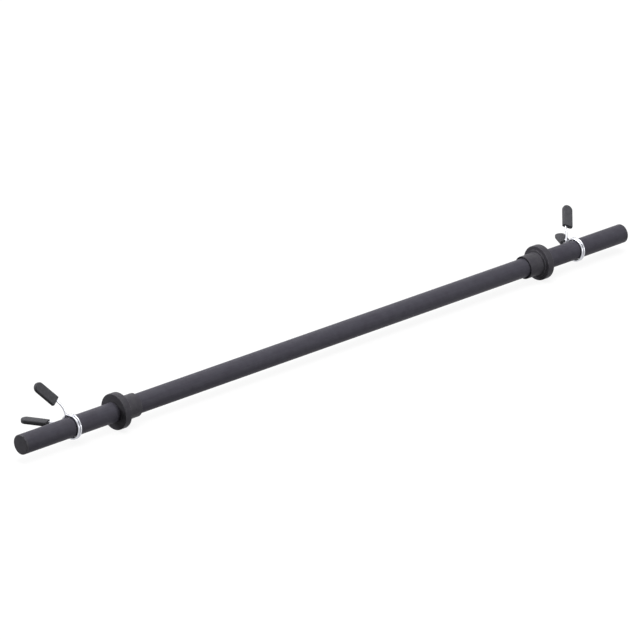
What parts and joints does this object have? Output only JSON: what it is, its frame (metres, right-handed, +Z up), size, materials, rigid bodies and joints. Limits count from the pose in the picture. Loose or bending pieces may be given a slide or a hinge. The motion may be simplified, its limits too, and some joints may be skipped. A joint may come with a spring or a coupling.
{
  "type": "aerobic barbell",
  "caption": "Light covered training bar with a collar near each end as a plate stop and a spring clip on each sleeve to hold the plates.",
  "frame": {"origin": "middle of the bar's length, on its axis", "axes": "+X along the bar towards the right end in the picture, +Y to the back, the side that the clip handles point to, and +Z up"},
  "size_m": [1.25, 0.1019, 0.0981],
  "materials": {
    "tube_steel": "satin",
    "cover_pvc": "matte",
    "cap_plastic": "matte",
    "collar_plastic": "satin",
    "spring_wire": "polished",
    "grip_vinyl": "matte"
  },
  "bodies": {
    "bar": {"core_tube": "tube_steel", "grip_cover": "cover_pvc", "left_sleeve_cover": "cover_pvc", "right_sleeve_cover": "cover_pvc", "left_end_cap": "cap_plastic", "right_end_cap": "cap_plastic", "left_collar": "collar_plastic", "right_collar": "collar_plastic", "left_collar_pin": "tube_steel", "right_collar_pin": "tube_steel"},
    "left_clip": {"left_clip_coil": "spring_wire"},
    "left_clip_upper": {"left_clip_upper_arm": "spring_wire", "left_clip_upper_grip": "grip_vinyl"},
    "left_clip_lower": {"left_clip_lower_arm": "spring_wire", "left_clip_lower_grip": "grip_vinyl"},
    "right_clip": {"right_clip_coil": "spring_wire"},
    "right_clip_upper": {"right_clip_upper_arm": "spring_wire", "right_clip_upper_grip": "grip_vinyl"},
    "right_clip_lower": {"right_clip_lower_arm": "spring_wire", "right_clip_lower_grip": "grip_vinyl"}
  },
  "joints": [
    {"name": "left_clip_slide", "type": "slide", "parent": "bar", "child": "left_clip", "axis": [-1, 0, 0], "range_m": [-0.074, 0.09]},
    {"name": "left_clip_turn", "type": "hinge", "parent": "left_clip", "child": "left_clip_upper", "pos_m": [-0.5263, 0, 0], "axis": [1, 0, 0], "continuous": true, "deforming": ["left_clip_coil"]},
    {"name": "left_clip_squeeze", "type": "hinge", "parent": "left_clip_upper", "child": "left_clip_lower", "pos_m": [-0.5263, 0, 0], "axis": [1, 0, 0], "range_deg": [0, 54.8], "stiffness_Nm_per_rad": 1, "springref_deg": -20.05, "deforming": ["left_clip_coil"]},
    {"name": "right_clip_slide", "type": "slide", "parent": "bar", "child": "right_clip", "axis": [1, 0, 0], "range_m": [-0.068, 0.097]},
    {"name": "right_clip_turn", "type": "hinge", "parent": "right_clip", "child": "right_clip_upper", "pos_m": [0.5201, 0, 0], "axis": [1, 0, 0], "continuous": true, "deforming": ["right_clip_coil"]},
    {"name": "right_clip_squeeze", "type": "hinge", "parent": "right_clip_upper", "child": "right_clip_lower", "pos_m": [0.5201, 0, 0], "axis": [1, 0, 0], "range_deg": [0, 31.2], "stiffness_Nm_per_rad": 1, "springref_deg": -20.05, "deforming": ["right_clip_coil"]}
  ]
}
